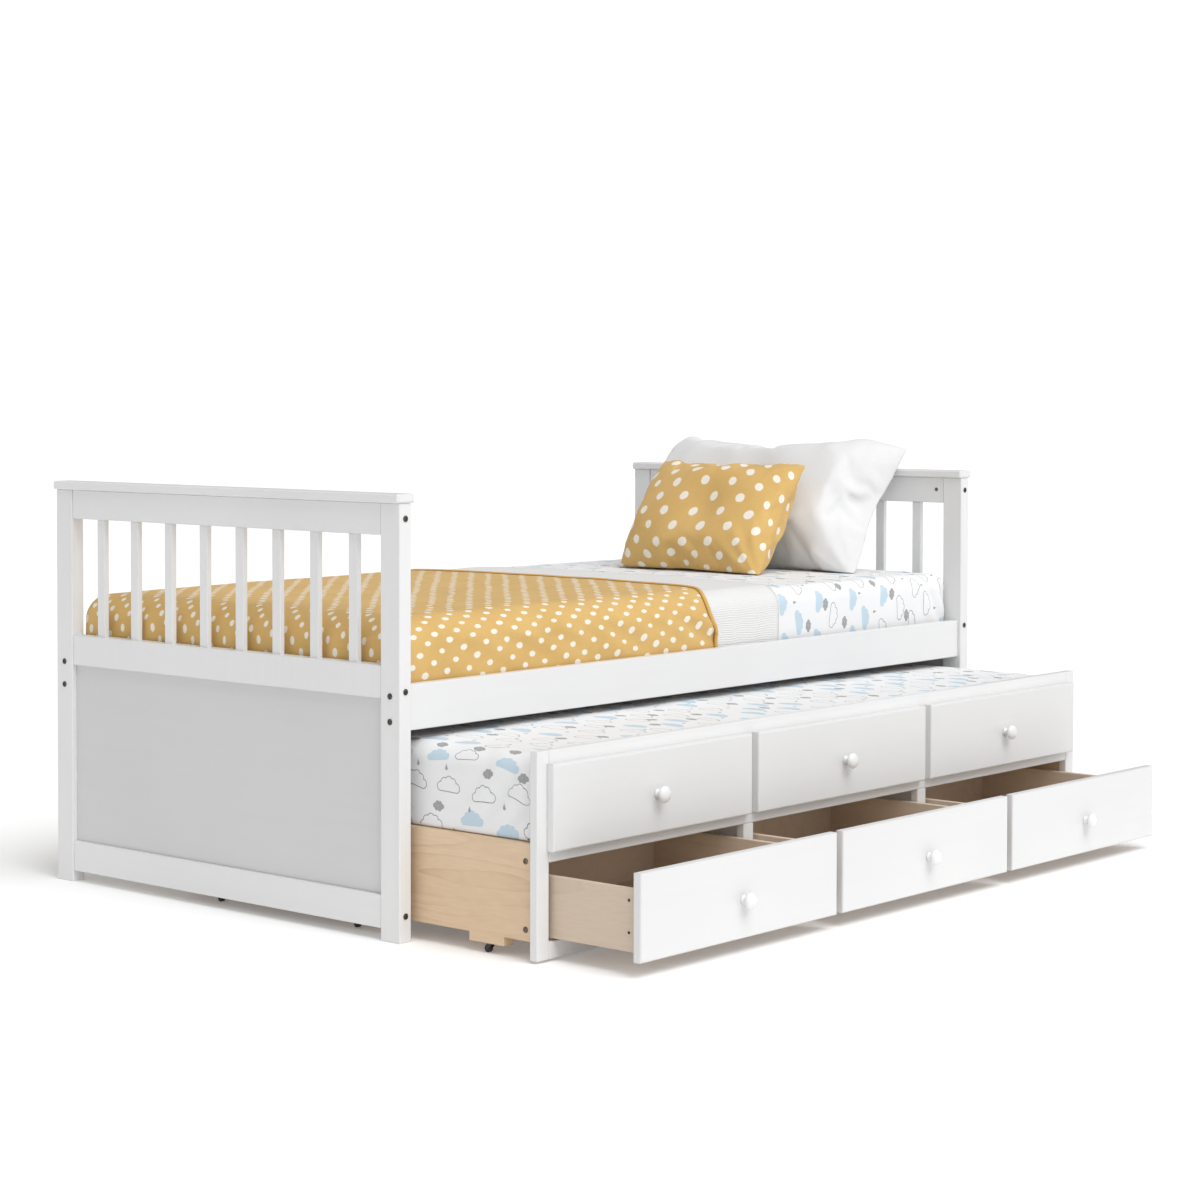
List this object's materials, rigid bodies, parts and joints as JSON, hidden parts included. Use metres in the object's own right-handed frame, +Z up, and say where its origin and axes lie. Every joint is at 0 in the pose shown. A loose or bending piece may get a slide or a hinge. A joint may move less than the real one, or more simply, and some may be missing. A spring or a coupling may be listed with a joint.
{
  "type": "trundle bed",
  "caption": "Twin bed frame with slatted head and foot ends, a bed slat base, and a roll-out trundle bed on casters with sham fronts above a row of drawers, both made up with bedding.",
  "frame": {"origin": "on the floor, in the middle of the whole bed's plan box with the trundle and drawers pulled out as stored", "axes": "+X from the foot end to the head end, -Y the way the trundle and drawers open, +Z up"},
  "size_m": [2.016, 1.6474, 0.9537],
  "materials": {
    "white_paint": "satin painted softwood",
    "pine": "bare sanded pine",
    "drawer_wood": "bare pale hardwood",
    "sheet_cloth": "cotton sheet printed with clouds over foam",
    "coverlet_cloth": "mustard cotton printed with white dots",
    "pillow_cloth": "white cotton",
    "caster_black": "black moulded nylon"
  },
  "bodies": {
    "bed": {"foot_post_front": "white_paint", "foot_post_back": "white_paint", "head_post_front": "white_paint", "head_post_back": "white_paint", "foot_cap": "white_paint", "head_cap": "white_paint", "foot_top_rail": "white_paint", "head_top_rail": "white_paint", "foot_spindle_rail": "white_paint", "head_spindle_rail": "white_paint", "foot_bottom_rail": "white_paint", "head_bottom_rail": "white_paint", "foot_panel": "white_paint", "head_panel": "white_paint", "side_rail_front": "white_paint", "side_rail_back": "white_paint", "bed_slats": "pine", "mattress": "sheet_cloth", "coverlet": "coverlet_cloth", "blanket": "pillow_cloth", "dotted_pillow": "coverlet_cloth", "white_pillow": "pillow_cloth"},
    "trundle": {"trundle_top_board": "white_paint", "trundle_bottom_rail": "white_paint", "trundle_stile_left": "white_paint", "trundle_stile_right": "white_paint", "trundle_divider_left": "white_paint", "trundle_divider_right": "white_paint", "sham_front_left": "white_paint", "sham_front_middle": "white_paint", "sham_front_right": "white_paint", "sham_knob_left": "white_paint", "sham_knob_middle": "white_paint", "sham_knob_right": "white_paint", "trundle_end_left": "pine", "trundle_end_right": "pine", "trundle_back_board": "pine", "trundle_slats": "pine", "trundle_mattress": "sheet_cloth"},
    "drawer_left": {"drawer_front_left": "white_paint", "drawer_box_left": "drawer_wood", "drawer_knob_left": "white_paint"},
    "drawer_middle": {"drawer_front_middle": "white_paint", "drawer_box_middle": "drawer_wood", "drawer_knob_middle": "white_paint"},
    "drawer_right": {"drawer_front_right": "white_paint", "drawer_box_right": "drawer_wood", "drawer_knob_right": "white_paint"},
    "caster_left_front": {"caster_fork_left_front": "caster_black"},
    "wheel_left_front": {"caster_wheel_left_front": "caster_black"},
    "caster_left_middle": {"caster_fork_left_middle": "caster_black"},
    "wheel_left_middle": {"caster_wheel_left_middle": "caster_black"},
    "caster_left_back": {"caster_fork_left_back": "caster_black"},
    "wheel_left_back": {"caster_wheel_left_back": "caster_black"},
    "caster_right_front": {"caster_fork_right_front": "caster_black"},
    "wheel_right_front": {"caster_wheel_right_front": "caster_black"},
    "caster_right_middle": {"caster_fork_right_middle": "caster_black"},
    "wheel_right_middle": {"caster_wheel_right_middle": "caster_black"},
    "caster_right_back": {"caster_fork_right_back": "caster_black"},
    "wheel_right_back": {"caster_wheel_right_back": "caster_black"}
  },
  "joints": [
    {"name": "trundle_slide", "type": "slide", "parent": "bed", "child": "trundle", "axis": [0, -1, 0], "range_m": [-0.3263, 0.72]},
    {"name": "drawer_left_slide", "type": "slide", "parent": "trundle", "child": "drawer_left", "axis": [0, -1, 0], "range_m": [-0.2129, 0.14]},
    {"name": "drawer_middle_slide", "type": "slide", "parent": "trundle", "child": "drawer_middle", "axis": [0, -1, 0], "range_m": [-0.2129, 0.14]},
    {"name": "drawer_right_slide", "type": "slide", "parent": "trundle", "child": "drawer_right", "axis": [0, -1, 0], "range_m": [-0.2129, 0.14]},
    {"name": "caster_left_front_swivel", "type": "hinge", "parent": "trundle", "child": "caster_left_front", "pos_m": [-0.9362, -0.42315, 0.0197], "axis": [0, 0, 1], "continuous": true},
    {"name": "caster_left_front_roll", "type": "hinge", "parent": "caster_left_front", "child": "wheel_left_front", "pos_m": [-0.9362, -0.41615, 0.0075], "axis": [1, 0, 0], "continuous": true},
    {"name": "caster_left_middle_swivel", "type": "hinge", "parent": "trundle", "child": "caster_left_middle", "pos_m": [-0.9362, -0.06365, 0.0197], "axis": [0, 0, 1], "continuous": true},
    {"name": "caster_left_middle_roll", "type": "hinge", "parent": "caster_left_middle", "child": "wheel_left_middle", "pos_m": [-0.9362, -0.05665, 0.0075], "axis": [1, 0, 0], "continuous": true},
    {"name": "caster_left_back_swivel", "type": "hinge", "parent": "trundle", "child": "caster_left_back", "pos_m": [-0.9362, 0.34585, 0.0197], "axis": [0, 0, 1], "continuous": true},
    {"name": "caster_left_back_roll", "type": "hinge", "parent": "caster_left_back", "child": "wheel_left_back", "pos_m": [-0.9362, 0.35285, 0.0075], "axis": [1, 0, 0], "continuous": true},
    {"name": "caster_right_front_swivel", "type": "hinge", "parent": "trundle", "child": "caster_right_front", "pos_m": [0.9362, -0.42315, 0.0197], "axis": [0, 0, 1], "continuous": true},
    {"name": "caster_right_front_roll", "type": "hinge", "parent": "caster_right_front", "child": "wheel_right_front", "pos_m": [0.9362, -0.41615, 0.0075], "axis": [1, 0, 0], "continuous": true},
    {"name": "caster_right_middle_swivel", "type": "hinge", "parent": "trundle", "child": "caster_right_middle", "pos_m": [0.9362, -0.06365, 0.0197], "axis": [0, 0, 1], "continuous": true},
    {"name": "caster_right_middle_roll", "type": "hinge", "parent": "caster_right_middle", "child": "wheel_right_middle", "pos_m": [0.9362, -0.05665, 0.0075], "axis": [1, 0, 0], "continuous": true},
    {"name": "caster_right_back_swivel", "type": "hinge", "parent": "trundle", "child": "caster_right_back", "pos_m": [0.9362, 0.34585, 0.0197], "axis": [0, 0, 1], "continuous": true},
    {"name": "caster_right_back_roll", "type": "hinge", "parent": "caster_right_back", "child": "wheel_right_back", "pos_m": [0.9362, 0.35285, 0.0075], "axis": [1, 0, 0], "continuous": true}
  ]
}
